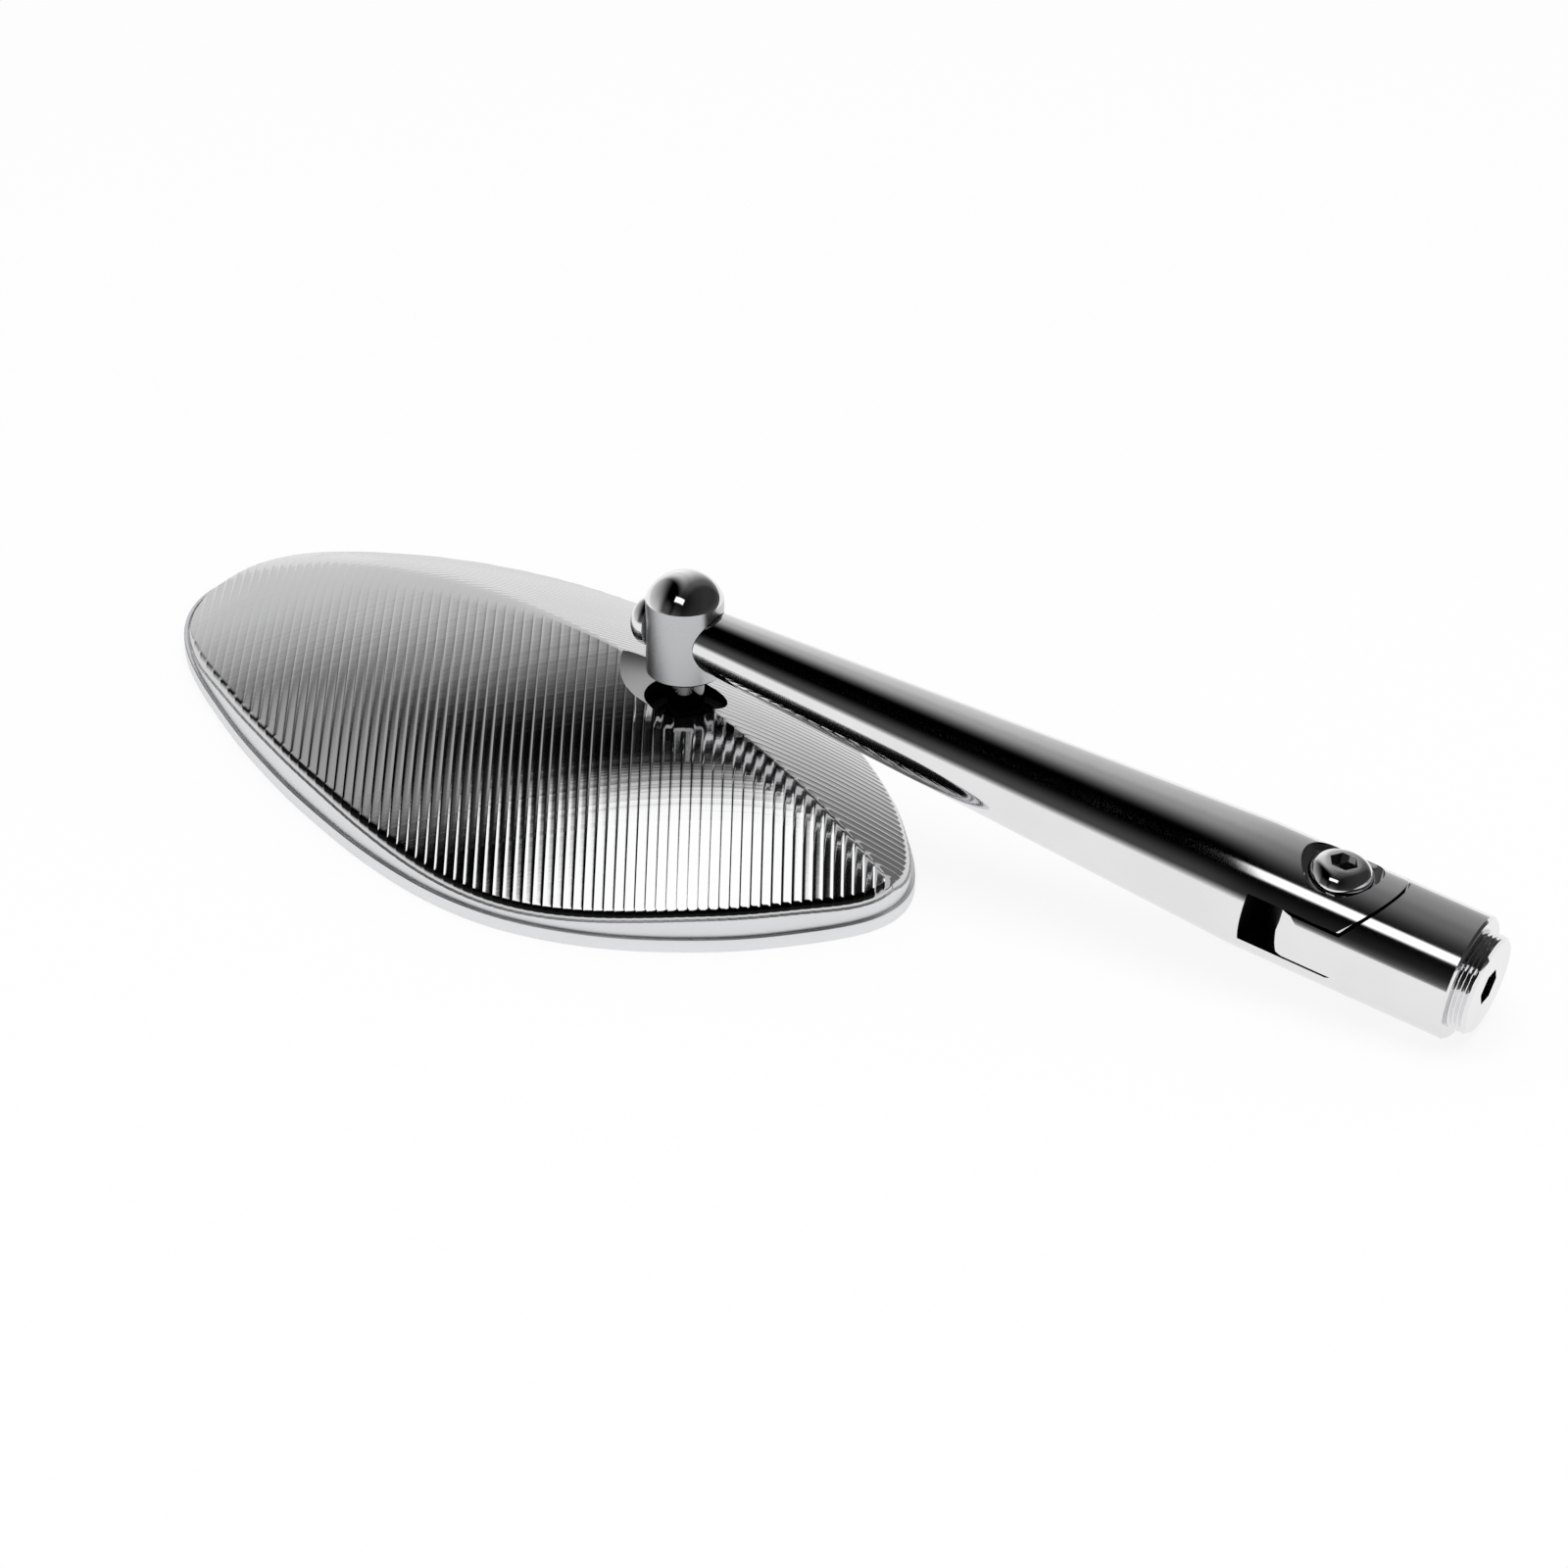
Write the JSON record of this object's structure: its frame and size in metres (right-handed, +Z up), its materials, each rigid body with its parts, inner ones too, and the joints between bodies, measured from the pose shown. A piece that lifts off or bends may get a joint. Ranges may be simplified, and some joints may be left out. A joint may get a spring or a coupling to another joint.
{
  "type": "motorcycle mirror",
  "caption": "Leaf-shaped polished mirror head with chevron ribs on a ball joint, carried by a tapered stem with a fold hinge and a threaded stud.",
  "frame": {"origin": "foot of the post's axis on the face of the glass, with the mirror lying glass down on a table", "axes": "+Z up out of the back of the head along the post, +X the way the stem runs seen from above, +Y across"},
  "size_m": [0.2476, 0.097, 0.0428],
  "materials": {
    "head_metal": "machined ribs, polished and chrome plated",
    "stem_metal": "turned, polished and chrome plated",
    "screw_steel": "polished steel",
    "bush_bronze": "plain bronze",
    "washer_nylon": "black nylon",
    "seat_nylon": "black nylon",
    "spring_steel": "spring steel",
    "plug_aluminium": "plain machined",
    "pad_foam": "black foam sheet",
    "glass": "silvered glass"
  },
  "bodies": {
    "base": {"stem_base": "stem_metal", "mount_stud": "screw_steel", "pivot_bush": "bush_bronze"},
    "arm": {"stem_arm": "stem_metal", "pivot_screw": "screw_steel", "upper_friction_washer": "washer_nylon", "lower_friction_washer": "washer_nylon", "post": "stem_metal", "post_screw": "screw_steel", "ball_stud": "screw_steel"},
    "liner": {"ball_liner": "seat_nylon"},
    "socket": {"upper_seat": "seat_nylon", "lower_seat": "seat_nylon"},
    "head": {"mirror_head": "head_metal", "retaining_plug": "plug_aluminium", "disc_spring": "spring_steel", "glass_pad": "pad_foam", "mirror_glass": "glass"}
  },
  "joints": [
    {"name": "fold_hinge", "type": "hinge", "parent": "base", "child": "arm", "pos_m": [0.1129, 0, 0.01378], "axis": [0.1668, 0, 0.986], "range_deg": [-55, 55]},
    {"name": "ball_tilt_x", "type": "hinge", "parent": "arm", "child": "liner", "pos_m": [0, 0, 0.0138], "axis": [1, 0, 0], "range_deg": [-15, 15]},
    {"name": "ball_tilt_y", "type": "hinge", "parent": "liner", "child": "socket", "pos_m": [0, 0, 0.0138], "axis": [0, 1, 0], "range_deg": [-10, 12]},
    {"name": "ball_spin", "type": "hinge", "parent": "socket", "child": "head", "pos_m": [0, 0, 0.0138], "axis": [0, 0, 1], "range_deg": [-45, 45]}
  ]
}
